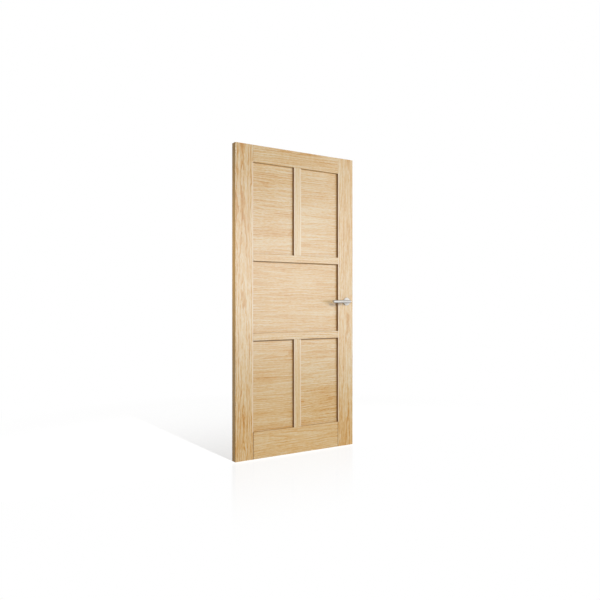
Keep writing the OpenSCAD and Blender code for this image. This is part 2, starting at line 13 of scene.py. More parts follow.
import bpy
import numpy as np
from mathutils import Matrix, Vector

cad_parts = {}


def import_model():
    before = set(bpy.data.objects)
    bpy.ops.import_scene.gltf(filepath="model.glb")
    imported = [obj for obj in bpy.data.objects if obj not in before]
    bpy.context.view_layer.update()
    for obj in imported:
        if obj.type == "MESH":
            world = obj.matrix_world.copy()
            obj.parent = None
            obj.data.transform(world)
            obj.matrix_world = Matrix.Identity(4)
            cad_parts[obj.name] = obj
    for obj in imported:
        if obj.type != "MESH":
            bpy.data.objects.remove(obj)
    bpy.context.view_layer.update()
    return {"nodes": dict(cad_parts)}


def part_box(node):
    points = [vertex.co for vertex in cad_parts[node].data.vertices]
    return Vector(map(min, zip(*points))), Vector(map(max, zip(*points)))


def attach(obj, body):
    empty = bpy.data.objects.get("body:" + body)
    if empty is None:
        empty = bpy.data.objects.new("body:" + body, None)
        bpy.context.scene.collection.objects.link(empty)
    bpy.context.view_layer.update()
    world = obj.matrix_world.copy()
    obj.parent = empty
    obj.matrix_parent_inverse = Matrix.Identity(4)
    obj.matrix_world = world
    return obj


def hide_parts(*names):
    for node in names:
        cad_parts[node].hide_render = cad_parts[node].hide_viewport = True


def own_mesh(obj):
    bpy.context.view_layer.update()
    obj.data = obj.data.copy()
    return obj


MILLIMETRE = 0.001
FULL_TURN = 2 * math.pi
SHARP_ANGLE = math.radians(32)
WHITE = (1.0, 1.0, 1.0, 1.0)

Pair = tuple[float, float]
Triple = tuple[float, float, float]
Material = bpy.types.Material
Piece = bpy.types.Object
Socket = bpy.types.NodeSocket
Nodes = Mapping[str, Piece]

log = logging.getLogger("oak_door")


class Grain(Enum):
    """Which way a board's fibres run."""

    UPRIGHT = "upright"
    LEVEL = "level"


class Brush(Enum):
    """How a metal face was brushed."""

    ALONG = "along the bar"
    ROUND = "round the spindle"


class Face(Enum):
    """The side of the leaf that a handle sits on, and the sign of Y there."""

    FRONT = -1
    REAR = 1


class Target(Enum):
    """What a lamp lights, and how the floor is linked to it for that."""

    FLOOR = "INCLUDE"
    OBJECT = "EXCLUDE"


@dataclass(frozen=True)
class Colour:
    """A colour in display levels from 0 to 255."""

    red: float
    green: float
    blue: float

    def linear(self) -> tuple[float, float, float, float]:
        """Turn the colour into linear light by the display's own curve.

        Returns:
            Red, green, blue and a full alpha.
        """
        levels = np.array((self.red, self.green, self.blue)) / 255
        light = np.where(levels <= 0.04045, levels / 12.92, ((levels + 0.055) / 1.055) ** 2.4)
        return (*light.tolist(), 1.0)


@dataclass(frozen=True)
class Clouds:
    """A cloudy noise.

    Attributes:
        stretch: How many clouds go into a metre along each axis of the vector that it is read at.
        detail: Octaves of finer clouds.
        rough: Strength of each finer octave.
    """

    stretch: Triple
    detail: float = 2.0
    rough: float = 0.5

    def along(self, share: float) -> "Clouds":
        """Return the same noise with the first stretch times a share."""
        return replace(self, stretch=(self.stretch[0] * share, *self.stretch[1:]))


class Value:
    """A number that varies over a surface; each operator adds one Math node to its graph."""

    def __init__(self, graph: "Graph", socket: Socket) -> None:
        """Wrap an output socket of the graph."""
        self.graph = graph
        self.socket = socket

    def apply(self, operation: str, *terms: "Value | float") -> "Value":
        """Add one Math node with an operation and its inputs in order, and return its result."""
        return self.graph.value("ShaderNodeMath", {"operation": operation}, dict(enumerate(terms)))

    def __add__(self, other: "Value | float") -> "Value":
        """Return self + other."""
        return self.apply("ADD", self, other)

    def __radd__(self, other: float) -> "Value":
        """Return other + self."""
        return self.apply("ADD", other, self)

    def __sub__(self, other: "Value | float") -> "Value":
        """Return self - other."""
        return self.apply("SUBTRACT", self, other)

    def __rsub__(self, other: float) -> "Value":
        """Return other - self."""
        return self.apply("SUBTRACT", other, self)

    def __mul__(self, other: "Value | float") -> "Value":
        """Return self times other."""
        return self.apply("MULTIPLY", self, other)

    def __rmul__(self, other: float) -> "Value":
        """Return other times self."""
        return self.apply("MULTIPLY", other, self)

    def root(self) -> "Value":
        """Return the square root."""
        return self.apply("SQRT", self)

    def fraction(self) -> "Value":
        """Return the part after the decimal point."""
        return self.apply("FRACT", self)

    def size(self) -> "Value":
        """Return the value without its sign."""
        return self.apply("ABSOLUTE", self)

    def larger(self, other: "Value | float") -> "Value":
        """Return the larger of the two."""
        return self.apply("MAXIMUM", self, other)

    def smooth(self, low: float, high: float) -> "Value":
        """Return a soft step from 0 at low to 1 at high."""
        given = {"Value": self, "From Min": low, "From Max": high}
        return self.graph.value("ShaderNodeMapRange", {"interpolation_type": "SMOOTHSTEP"}, given)

    def past(self, edge: float, soft: float) -> "Value":
        """Return 0 before an edge and 1 past it, with a soft step across it."""
        return self.smooth(edge - soft, edge + soft)


class Graph:
    """The node tree of one material or of the world."""

    def __init__(self, tree: bpy.types.NodeTree) -> None:
        """Take over a tree and empty it."""
        self.tree = tree
        tree.nodes.clear()

    def node(
        self,
        kind: str,
        settings: Mapping[str, object] | None = None,
        inputs: Mapping[str | int, object] | None = None,
    ) -> bpy.types.Node:
        """Add one node.

        Args:
            kind: The node's type.
            settings: Its properties, set first; stops fills a colour ramp.
            inputs: A number, colour, socket or Value for each input named or numbered here.

        Returns:
            The node.
        """
        made = self.tree.nodes.new(kind)
        for name, setting in (settings or {}).items():
            if name == "stops":
                self.fill_ramp(made.color_ramp, setting)
            else:
                setattr(made, name, setting)
        for name, given in (inputs or {}).items():
            source = given.socket if isinstance(given, Value) else given
            if isinstance(source, Socket):
                self.tree.links.new(source, made.inputs[name])
            else:
                made.inputs[name].default_value = source
        return made

    @staticmethod
    def fill_ramp(ramp: bpy.types.ColorRamp, stops: Sequence[tuple[float, Colour]]) -> None:
        """Give a ramp its stops.

        Args:
            ramp: A new ramp, which has two stops.
            stops: Each stop's place and colour, from low to high.
        """
        for _ in stops[2:]:
            ramp.elements.new(1.0)
        for element, (place, colour) in zip(ramp.elements, stops):
            element.position = place
            element.color = colour.linear()

    def value(self, kind: str, settings: Mapping[str, object], inputs: Mapping[str | int, object]) -> Value:
        """Add one node and return its first output as a Value."""
        return Value(self, self.node(kind, settings, inputs).outputs[0])

    def place(self) -> tuple[Value, Value, Value]:
        """Read where a point of the piece is, in Object coordinates.

        Returns:
            The point's X, Y and Z.
        """
        point = self.node("ShaderNodeTexCoord").outputs["Object"]
        parts = self.node("ShaderNodeSeparateXYZ", None, {0: point}).outputs
        return Value(self, parts[0]), Value(self, parts[1]), Value(self, parts[2])

    def vector(self, first: Value | float, second: Value | float, third: Value | float) -> Socket:
        """Return three values as one vector."""
        return self.node("ShaderNodeCombineXYZ", None, {0: first, 1: second, 2: third}).outputs[0]

    def noise(self, vector: Socket, clouds: Clouds) -> Value:
        """Add cloudy noise.

        Args:
            vector: The point to read it at.
            clouds: The kind of noise.

        Returns:
            The noise, from 0 to 1 about 0.5.
        """
        given = {0: vector, 1: clouds.stretch}
        scaled = self.node("ShaderNodeVectorMath", {"operation": "MULTIPLY"}, given).outputs[0]
        given = {"Vector": scaled, "Scale": 1.0, "Detail": clouds.detail, "Roughness": clouds.rough}
        return self.value("ShaderNodeTexNoise", {"noise_dimensions": "3D"}, given)

    def swing(self, vector: Socket, clouds: Clouds) -> Value:
        """Return cloudy noise about 0, from -0.5 to 0.5."""
        return self.noise(vector, clouds) - 0.5

    def mix(self, factor: Value | float, first: object, second: object) -> Socket:
        """Mix two colours.

        Args:
            factor: The share of the second colour.
            first: A colour or a socket.
            second: A colour or a socket.

        Returns:
            The mixed colour.
        """
        # The node has one pair of inputs for each type of data; the inputs 6 and 7 are its colours.
        given = {0: factor}
        for slot, colour in ((6, first), (7, second)):
            given[slot] = colour.linear() if isinstance(colour, Colour) else colour
        return self.node("ShaderNodeMix", {"data_type": "RGBA"}, given).outputs[2]

    def blend(self, factor: object, first: Socket, second: Socket) -> Socket:
        """Mix two shaders by the share of the second one."""
        return self.node("ShaderNodeMixShader", None, {0: factor, 1: first, 2: second}).outputs[0]

    def bump(self, height: Value, strength: float, distance: float) -> Socket:
        """Return a normal that follows a height, of which 1 stands for the distance in metres."""
        given = {"Height": height, "Strength": strength, "Distance": distance}
        return self.node("ShaderNodeBump", None, given).outputs[0]

    def surface(self, inputs: Mapping[str, object]) -> None:
        """End a material in one Principled shader with the given inputs."""
        shader = self.node("ShaderNodeBsdfPrincipled", None, inputs)
        self.node("ShaderNodeOutputMaterial", None, {"Surface": shader.outputs[0]})


def new_material(name: str) -> tuple[Material, Graph]:
    """Make a material whose graph is still empty.

    Args:
        name: The material's name.

    Returns:
        The material and its graph.
    """
    material = bpy.data.materials.new(name)
    material.use_nodes = True
    return material, Graph(material.node_tree)


@dataclass(frozen=True)
class OakTraits:
    """What all boards share: the oak's noises, their weights in its tone, its colours, with those of its
    painted shade and painted highlight, and its lacquer.

    A step is a pair: where a soft step starts and where it ends. A relief is a bump's strength and depth.
    Widths, heights and soft edges are in metres. The side step is measured from the board's side faces.
    """

    point_seed: Triple = (3.17, 0.71, 1.93)
    drift_seed: Pair = (2.3, 0.9)
    year_seed: float = 5.3
    bend: Clouds = Clouds((1.3, 6.0, 6.0))
    slow: Clouds = Clouds((0.7, 2.5, 2.5), 1.0)
    ripple: Clouds = Clouds((7.0, 36.0, 36.0), 2.0, 0.55)
    ragged: Clouds = Clouds((26.0, 420.0, 420.0), 1.0)
    spell: Clouds = Clouds((0.16, 1.6, 1.0), 2.0, 0.6)
    single: Clouds = Clouds((0.9, 2.4, 1.0), 1.0)
    cloud: Clouds = Clouds((1.0, 75.0, 75.0), 2.0, 0.55)
    streak: Clouds = Clouds((1.6, 200.0, 200.0), 1.0)
    fleck: Clouds = Clouds((46.0, 230.0, 230.0), 1.0)
    fibre: Clouds = Clouds((7.0, 560.0, 560.0), 4.0, 0.65)
    vessel: Clouds = Clouds((44.0, 1350.0, 1350.0), 1.0)
    ray: Clouds = Clouds((60.0, 300.0, 300.0), 0.0)
    pith_drift: float = 0.05
    ragged_share: float = 0.35
    early_wood_step: Pair = (0.0, 0.5)
    year_start_step: Pair = (0.0, 0.04)
    bend_drift: float = 0.6
    slow_drift: float = 0.08
    ripple_drift: float = 0.011
    pore_step: Pair = (0.57, 0.67)
    late_pores: float = 0.3
    ray_step: Pair = (0.68, 0.8)
    plain_tone: float = 0.635
    spell_weight: float = 0.8
    streak_weight: float = 1.3
    cloud_weight: float = 0.6
    fleck_weight: float = 0.95
    fibre_weight: float = 0.75
    ray_weight: float = 0.07
    pore_weight: float = 0.36
    band_lift: float = 0.25
    band_spread: float = 3.2
    # Painted shade towards the floor: where the darkening at a board's foot fades out.
    foot_shade_step: Pair = (0.0, 0.4)
    stops: tuple[float, ...] = (0.0, 0.28, 0.5, 0.72, 1.0)
    dark: Colour = Colour(188, 127, 34)
    brown: Colour = Colour(200, 151, 74)
    golden: Colour = Colour(208, 168, 106)
    pale: Colour = Colour(212, 181, 131)
    cream: Colour = Colour(218, 198, 159)
    # Painted shade in the recesses and the real dark joint lines both take this colour.
    seam: Colour = Colour(124, 75, 16)
    # The painted highlight along the arrises beside the panels.
    edge_highlight: Colour = Colour(236, 220, 194)
    side_step: Pair = (-0.0012, -0.0004)
    # How far side faces turn brown: a calmer edge grain, and partly painted shade that darkens them.
    side_tone_and_shade_share: float = 0.6
    # How dark the painted shade is on sides that face a recess.
    recess_side_shade_share: float = 0.85
    # Share, width and span of the painted highlight.
    edge_highlight_share: float = 0.6
    edge_highlight_width: float = 0.0065
    edge_highlight_span: Pair = (0.17, 1.874)
    edge_highlight_span_soft: float = 0.002
    line_soft: float = 0.001
    # How dark the painted shade beside a panel's lock side is.
    lock_side_shade_share: float = 0.7
    joint_soft: float = 0.0005
    joint_share: float = 0.7
    lacquer_step: Pair = (0.05, 0.75)
    lacquer_high: float = 0.85
    lacquer_low: float = 0.32
    lacquer_rough: float = 0.27
    lacquer_ior: float = 2.0
    roughness: float = 0.44
    pore_rough: float = 0.2
    fibre_rough: float = 0.12
    fibre_height: float = 0.35
    porous_height: float = 0.25
    relief: Pair = (0.2, 0.0001)


@dataclass(frozen=True)
class Oak:
    """Lacquered oak, cut as one board from a log.

    Attributes:
        grain: Which way the fibres run.
        seed: The number that gives the board noises of its own.
        lift: How much paler than plain oak the board is.
        pith_across: Where the log's pith lies across the board, from its middle line.
        pith_off: How far before the leaf's middle plane the pith lies.
        lean: How fast it moves on to the front along the board.
        sway: How far the rings swing sideways.
        highlit_sides: The sides, as signs, with a painted highlight: a pale band along the arris beside the
            panels.
        inner: The sides, as signs, that face a recess and are darkened there with painted shade.
        figure: Strength of the streaks.
        flame: How far the rings ripple, in years.
        dash: How many clouds of streaks go into a metre along the grain.
        ring: Width of a year's growth.
        band: Strength of each year's dark band.
        joint: How far in from its ends the board has dark joint lines, or 0 for none.
        foot: How much darker the board is at the floor, as painted shade.
        pool: How far below its hidden top edge a panel has painted shade, darker and matt, where the rail
            above shades it, or 0 for a board that is no panel.
        shade_under_rail_share: How dark the painted shade under the rail is.
        lock_side_shade: How far in from its hidden lock-side edge a panel has painted shade, darker and
            matt.
        traits: What all boards share.
    """

    grain: Grain
    seed: float
    lift: float = 0.0
    pith_across: float = 0.0
    pith_off: float = 0.05
    lean: float = 0.02
    sway: float = 0.03
    highlit_sides: tuple[int, ...] = ()
    inner: tuple[int, ...] = ()
    figure: float = 0.85
    flame: float = 0.8
    dash: float = 2.4
    ring: float = 0.011
    band: float = 0.26
    joint: float = 0.0
    foot: float = 0.0
    pool: float = 0.0
    shade_under_rail_share: float = 0.0
    lock_side_shade: float = 0.0
    traits: OakTraits = OakTraits()


@dataclass(frozen=True)
class OakGrain:
    """The grain at a point: how pale it is, its fibres, its open pores and its year's porous band."""

    tone: Value
    fibre: Value
    pore: Value
    porous: Value


class OakBoard:
    """The material of one oak board, worked out from its cut of oak and its box.

    A point's distance from the log's pith, which lies off the board's face and leans along it, gives the
    yearly rings. Where the face cuts them they draw the tall arches of a crown-cut board.
    """

    def __init__(self, name: str, cut: Oak) -> None:
        """Start the material, and find where a point lies along the grain and across it.

        Args:
            name: The CAD board's name.
            cut: Its cut of oak.
        """
        self.cut = cut
        self.oak = cut.traits
        self.material, self.graph = new_material(f"oak_{name}")
        self.x, self.y, self.z = self.graph.place()
        low, self.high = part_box(name)
        upright = cut.grain is Grain.UPRIGHT
        self.along, across = (self.z, self.x) if upright else (self.x, self.z)
        run, width = (2, 0) if upright else (0, 2)
        self.side = across - (low[width] + self.high[width]) / 2
        self.half = (self.high[width] - low[width]) / 2
        self.start, self.end = low[run], self.high[run]

    def grow(self) -> OakGrain:
        """Work out the grain.

        The number of the ring is the distance from the swaying pith over a year's width. A year starts with
        a porous band, whose depth differs from year to year. The tone adds spells of dark and pale years,
        streaks, clouds and flecks that drift with the grain, fine fibres, rays and pores.

        Returns:
            The grain at a point.
        """
        cut, oak, graph = self.cut, self.oak, self.graph
        first, second, third = (step * cut.seed for step in oak.point_seed)
        point = graph.vector(self.along + first, self.side + second, self.y + third)
        bend = graph.swing(point, oak.bend)
        slow = graph.swing(point, oak.slow)
        ripple = graph.swing(point, oak.ripple)
        ragged = graph.swing(point, oak.ragged)
        beside = self.side - cut.pith_across + bend * cut.sway
        off = self.y + self.along * cut.lean + slow * oak.pith_drift + cut.pith_off
        radius = (beside * beside + off * off).root()
        ring = radius * (1 / cut.ring) + ripple * cut.flame + ragged * oak.ragged_share
        phase = ring.fraction()
        porous = (1 - phase.smooth(*oak.early_wood_step)) * phase.smooth(*oak.year_start_step)

        years = graph.vector(ring, self.along, cut.seed * oak.year_seed)
        spell = graph.swing(years, oak.spell)
        single = graph.swing(years, oak.single)
        wander = bend * (cut.sway * oak.bend_drift) + slow * oak.slow_drift + ripple * oak.ripple_drift
        first, second = (step * cut.seed for step in oak.drift_seed)
        drift = graph.vector(self.along + first, self.side + wander + second, self.y)
        cloud = graph.swing(drift, oak.cloud.along(cut.dash))
        streak = graph.swing(drift, oak.streak.along(cut.dash))
        fleck = graph.swing(drift, oak.fleck)
        fibre = graph.swing(point, oak.fibre)
        vessel = graph.noise(point, oak.vessel).smooth(*oak.pore_step)
        pore = vessel * (oak.late_pores + porous * (1 - oak.late_pores))
        ray = graph.noise(point, oak.ray).smooth(*oak.ray_step)

        figure = spell * oak.spell_weight + streak * oak.streak_weight
        figure = figure + cloud * oak.cloud_weight + fleck * oak.fleck_weight
        tone = figure * cut.figure + fibre * oak.fibre_weight + ray * oak.ray_weight
        tone = tone + (oak.plain_tone + cut.lift + cut.band * oak.band_lift)
        tone = tone - porous * (1 + single * oak.band_spread) * cut.band - pore * oak.pore_weight
        # Painted shade: darker towards the floor.
        if cut.foot:
            tone = tone - (1 - self.z.smooth(*oak.foot_shade_step)) * cut.foot
        return OakGrain(tone, fibre, pore, porous)

    def on_side(self, side: Value) -> Value:
        """Return 1 on a side face and 0 before it, from the distance to the board's middle line."""
        return side.smooth(*(self.half + step for step in self.oak.side_step))

    def shade_and_joints(self) -> list[tuple[Value, Value]]:
        """List the painted shade on sides that face a recess and along a panel's hidden edges, and the dark
        joint lines.

        Returns:
            How dark and how matt each of them makes a point.
        """
        cut, oak = self.cut, self.oak
        found = []
        # Painted shade, darker and matt, on the sides that face a recess.
        for sign in cut.inner:
            within = self.on_side(self.side * sign)
            found.append((within * oak.recess_side_shade_share, within))
        # Painted shade on a panel: darker and matt under the rail above it and beside its lock-side frame.
        if cut.pool:
            under = self.z.past(self.high.z - cut.pool, oak.line_soft)
            beside = self.x.past(self.high.x - cut.lock_side_shade, oak.line_soft)
            found.append(((under * cut.shade_under_rail_share).larger(beside * oak.lock_side_shade_share), under.larger(beside)))
        if cut.joint:
            from_middle = (self.along - (self.start + self.end) / 2).size()
            line = from_middle.past((self.end - self.start) / 2 - cut.joint, oak.joint_soft)
            found.append((line * oak.joint_share, line))
        return found

    def colour(self, tone: Value) -> tuple[Socket, Value]:
        """Colour the board, add its painted highlights and painted shade, and lacquer it.

        Args:
            tone: How pale the wood is at a point.

        Returns:
            The wood's colour and how much lacquer lies on it.
        """
        oak, graph = self.oak, self.graph
        colours = (oak.dark, oak.brown, oak.golden, oak.pale, oak.cream)
        ramp = {"stops": tuple(zip(oak.stops, colours))}
        wood = graph.node("ShaderNodeValToRGB", ramp, {0: tone}).outputs[0]
        sides = self.on_side(self.side.size())
        # Side faces turn browner: a calmer edge grain, and partly painted shade that darkens them.
        wood = graph.mix(sides * oak.side_tone_and_shade_share, wood, oak.brown)
        # Painted highlight: a pale band along the arris of each listed side, beside the panels.
        for sign in self.cut.highlit_sides:
            edge_highlight = (self.side * sign).past(self.half - oak.edge_highlight_width, oak.line_soft)
            start, end = (self.along.past(height, oak.edge_highlight_span_soft) for height in oak.edge_highlight_span)
            wood = graph.mix(edge_highlight * start * (1 - end) * oak.edge_highlight_share, wood, oak.edge_highlight)
        rise = self.z.smooth(*oak.lacquer_step)
        lacquer = rise * oak.lacquer_high + (1 - rise) * (1 - sides) * oak.lacquer_low
        # Painted shade and the dark joint lines darken the wood and take off its lacquer there.
        for dark, matt in self.shade_and_joints():
            wood = graph.mix(dark, wood, oak.seam)
            lacquer = lacquer * (1 - matt)
        return wood, lacquer

    def finish(self) -> Material:
        """Finish the material with its grain, colour, lacquer and fine relief.

        Returns:
            The material.
        """
        oak, grain = self.oak, self.grow()
        wood, lacquer = self.colour(grain.tone)
        height = grain.fibre * oak.fibre_height - grain.pore - grain.porous * oak.porous_height
        self.graph.surface(
            {
                "Base Color": wood,
                "Roughness": oak.roughness + grain.pore * oak.pore_rough + grain.fibre * oak.fibre_rough,
                "Coat Weight": lacquer,
                "Coat Roughness": oak.lacquer_rough,
                "Coat IOR": oak.lacquer_ior,
                "Normal": self.graph.bump(height, *oak.relief),
            }
        )
        return self.material


@dataclass(frozen=True, kw_only=True)
class Finish:
    """A finish of two shades, which a grain and a mottle mix, roughen and raise.

    Attributes:
        light: The first shade.
        shade: The second shade.
        grain: The first noise.
        mottle: The second noise.
        shares: How much of the second shade each noise brings.
        roughness: The plain roughness, and what each noise adds to it.
        heights: How far each noise raises the surface.
        relief: The bump's strength and its depth.
        metal: 1 for a metal, otherwise 0.
    """

    light: Colour
    shade: Colour
    grain: Clouds
    mottle: Clouds
    shares: Pair = (0.0, 1.0)
    roughness: Triple
    heights: Pair = (1.0, 0.0)
    relief: Pair
    metal: float = 1.0

    def read(self, graph: Graph) -> tuple[Value, Value]:
        """Return the grain and the mottle at a point of the piece."""
        point = graph.vector(*graph.place())
        return graph.noise(point, self.grain), graph.noise(point, self.mottle)

    def material(self, name: str) -> Material:
        """Make the material.

        Args:
            name: Its name.

        Returns:
            The material.
        """
        material, graph = new_material(name)
        grain, mottle = self.read(graph)
        plain, by_grain, by_mottle = self.roughness
        share = grain * self.shares[0] + mottle * self.shares[1]
        height = grain * self.heights[0] + mottle * self.heights[1]
        graph.surface(
            {
                "Base Color": graph.mix(share, self.light, self.shade),
                "Metallic": self.metal,
                "Roughness": plain + grain * by_grain + mottle * by_mottle,
                "Normal": graph.bump(height, *self.relief),
            }
        )
        return material


@dataclass(frozen=True, kw_only=True)
class Beech(Finish):
    """Plain beech as dowels are made of, with fine fibres along the dowel and short dark flecks."""

    run: Grain
    light: Colour = Colour(222, 188, 146)
    shade: Colour = Colour(176, 130, 88)
    grain: Clouds = Clouds((14.0, 900.0, 900.0), 3.0, 0.6)
    mottle: Clouds = Clouds((260.0, 1900.0, 1900.0), 0.0)
    fleck_step: Pair = (0.64, 0.72)
    shares: Pair = (0.35, 0.5)
    roughness: Triple = (0.58, 0.12, 0.0)
    heights: Pair = (1.0, -1.0)
    relief: Pair = (0.25, 0.0001)
    metal: float = 0.0

    def read(self, graph: Graph) -> tuple[Value, Value]:
        """Read the noises along the dowel.

        Args:
            graph: The material's graph.

        Returns:
            The fibres and the flecks.
        """
        x, y, z = graph.place()
        along, across = (z, x) if self.run is Grain.UPRIGHT else (x, z)
        point = graph.vector(along, across, y)
        return graph.noise(point, self.grain), graph.noise(point, self.mottle).smooth(*self.fleck_step)


@dataclass(frozen=True, kw_only=True)
class SatinSteel(Finish):
    """Brushed stainless steel with a satin sheen, fine lines from the brush and faint smears.

    The lines run along X, or in circles about a centre in X and Z.
    """

    brush: Brush
    centre: Pair = (0.0, 0.0)
    light: Colour = Colour(230, 228, 225)
    shade: Colour = Colour(212, 210, 206)
    grain: Clouds = Clouds((5200.0, 5200.0, 5200.0), 2.0, 0.6)
    mottle: Clouds = Clouds((90.0, 120.0, 120.0))
    straight_stretch: float = 0.03
    round_stretch: float = 0.3
    shares: Pair = (0.7, 0.3)
    roughness: Triple = (0.48, 0.14, 0.06)
    relief: Pair = (0.08, 0.00004)

    def read(self, graph: Graph) -> tuple[Value, Value]:
        """Read the first noise along the brush and the second one where the point is.

        Args:
            graph: The material's graph.

        Returns:
            The lines and the smears.
        """
        x, y, z = graph.place()
        if self.brush is Brush.ALONG:
            point = graph.vector(x * self.straight_stretch, y, z)
        else:
            aside = x - self.centre[0]
            above = z - self.centre[1]
            point = graph.vector((aside * aside + above * above).root(), y * self.round_stretch, 0.0)
        return graph.noise(point, self.grain), graph.noise(graph.vector(x, y, z), self.mottle)


@dataclass(frozen=True, kw_only=True)
class PlatedZinc(Finish):
    """Cast or pressed zinc-plated metal, with a faint cloudy bloom over a fine cast grain."""

    light: Colour = Colour(192, 194, 197)
    shade: Colour = Colour(158, 162, 168)
    grain: Clouds = Clouds((2600.0, 2600.0, 2600.0), 1.0)
    mottle: Clouds = Clouds((160.0, 160.0, 160.0), 3.0)
    roughness: Triple = (0.36, 0.0, 0.18)
    relief: Pair = (0.12, 0.00005)


@dataclass(frozen=True, kw_only=True)
class PlainSteel(Finish):
    """Bare steel, darker than the plated pieces, with a patchy oil film over fine drawing marks."""

    light: Colour = Colour(158, 160, 162)
    shade: Colour = Colour(112, 114, 118)
    grain: Clouds = Clouds((1800.0, 3600.0, 3600.0), 1.0)
    mottle: Clouds = Clouds((210.0, 210.0, 210.0), 3.0, 0.6)
    roughness: Triple = (0.28, 0.0, 0.2)
    relief: Pair = (0.1, 0.00004)


@dataclass(frozen=True, kw_only=True)
class Nylon(Finish):
    """Natural moulded nylon, with a slight mottle and a fine moulded grain."""

    light: Colour = Colour(232, 229, 218)
    shade: Colour = Colour(214, 210, 196)
    grain: Clouds = Clouds((3000.0, 3000.0, 3000.0), 1.0)
    mottle: Clouds = Clouds((140.0, 140.0, 140.0))
    roughness: Triple = (0.46, 0.14, 0.0)
    relief: Pair = (0.15, 0.00005)
    metal: float = 0.0


def add_object(name: str, data: bpy.types.ID) -> Piece:
    """Put a mesh, lamp or camera into the scene and return its object."""
    added = bpy.data.objects.new(name, data)
    bpy.context.scene.collection.objects.link(added)
    return added


def dress(piece: Piece, material: Material) -> None:
    """Give a piece one material and report it.

    Args:
        piece: The piece.
        material: Its material.
    """
    piece.data.materials.clear()
    piece.data.materials.append(material)
    log.info("dressed %s in %s", piece.name, material.name)


def adopt(piece: Piece, node: str, body: str, material: Material) -> None:
    """Let a new piece stand for a CAD node.

    Args:
        piece: The new piece.
        node: The CAD node that it replaces.
        body: The body that it rides on.
        material: Its finish.
    """
    dress(piece, material)
    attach(piece, body)
    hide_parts(node)


def round_angles(count: int) -> np.ndarray:
    """Return evenly spaced angles of a full turn."""
    return np.linspace(0.0, FULL_TURN, count, endpoint=False)


def join(x: np.ndarray | float, y: np.ndarray | float, z: np.ndarray | float) -> np.ndarray:
    """Return the points that have these coordinates, each of them a number or an array."""
    return np.stack(np.broadcast_arrays(x, y, z), axis=-1)


def grid_faces(rows: int, columns: int, closed: bool) -> np.ndarray:
    """Number the corners of a grid of quads.

    Each row is a closed ring, and neighbouring rows are joined by one quad per column.

    Args:
        rows: How many rings there are.
        columns: How many points a ring has.
        closed: Whether the last ring joins the first.

    Returns:
        One row of four corners per quad.
    """
    ring = np.arange(rows if closed else rows - 1)[:, None]
    spoke = np.arange(columns)[None, :]
    ahead = (spoke + 1) % columns
    near, far = ring * columns, (ring + 1) % rows * columns
    return np.stack([near + spoke, near + ahead, far + ahead, far + spoke], axis=-1).reshape(-1, 4)


def signed_volume(points: np.ndarray, quads: np.ndarray) -> float:
    """Add up the volume that quads enclose, as pyramids over their halves.

    Args:
        points: The corners' coordinates.
        quads: One row of four corners per quad.

    Returns:
        The volume, which is negative where the quads face inwards.
    """
    first, second, third, fourth = (points[quads[:, k]] for k in range(4))
    halves = np.einsum("ij,ij->i", first, np.cross(second, third))
    halves = halves + np.einsum("ij,ij->i", first, np.cross(third, fourth))
    return float(halves.sum() / 6)


def shade_smooth(mesh: bpy.types.Mesh) -> None:
    """Shade a mesh smoothly between its sharp edges."""
    mesh.polygons.foreach_set("use_smooth", np.ones(len(mesh.polygons), bool))
    mesh.set_sharp_from_angle(angle=SHARP_ANGLE)


def ring_piece(name: str, rings: np.ndarray, closed: bool) -> Piece:
    """Make a closed piece from a grid of rings.

    Args:
        name: The piece's name.
        rings: Points as rings, points of a ring and coordinates.
        closed: Whether the last ring joins the first; otherwise both ends get a cap.

    Returns:
        The piece, with its faces outwards and smooth between its sharp edges.
    """
    rows, columns, _ = rings.shape
    points = rings.reshape(-1, 3)
    quads = grid_faces(rows, columns, closed)
    inside_out = signed_volume(points - points.mean(axis=0), quads) < 0
    faces = (quads[:, ::-1] if inside_out else quads).tolist()
    if not closed:
        first = list(range(columns))[::-1]
        last = list(range((rows - 1) * columns, rows * columns))
        faces.extend([first[::-1], last[::-1]] if inside_out else [first, last])
    mesh = bpy.data.meshes.new(name)
    mesh.from_pydata(points.tolist(), [], faces)
    shade_smooth(mesh)
    mesh.validate()
    return add_object(name, mesh)


def sweep_wire(path: np.ndarray, axis: Triple, radius: float, sides: int) -> np.ndarray:
    """Carry a circle along a path that turns about an axis.

    The circle's plane is spanned by the path's direction crossed with the axis, and by that crossed with
    the direction again.

    Args:
        path: The points that the wire follows.
        axis: The axis that the path turns about.
        radius: The wire's radius.
        sides: How many points the circle has.

    Returns:
        Rings of points along the path.
    """
    ahead = np.gradient(path, axis=0)
    ahead = ahead / np.linalg.norm(ahead, axis=1, keepdims=True)
    across = np.cross(ahead, np.asarray(axis, float))
    across = across / np.linalg.norm(across, axis=1, keepdims=True)
    upward = np.cross(across, ahead)
    angle = round_angles(sides)[None, :, None]
    offset = np.cos(angle) * across[:, None, :] + np.sin(angle) * upward[:, None, :]
    return path[:, None, :] + radius * offset


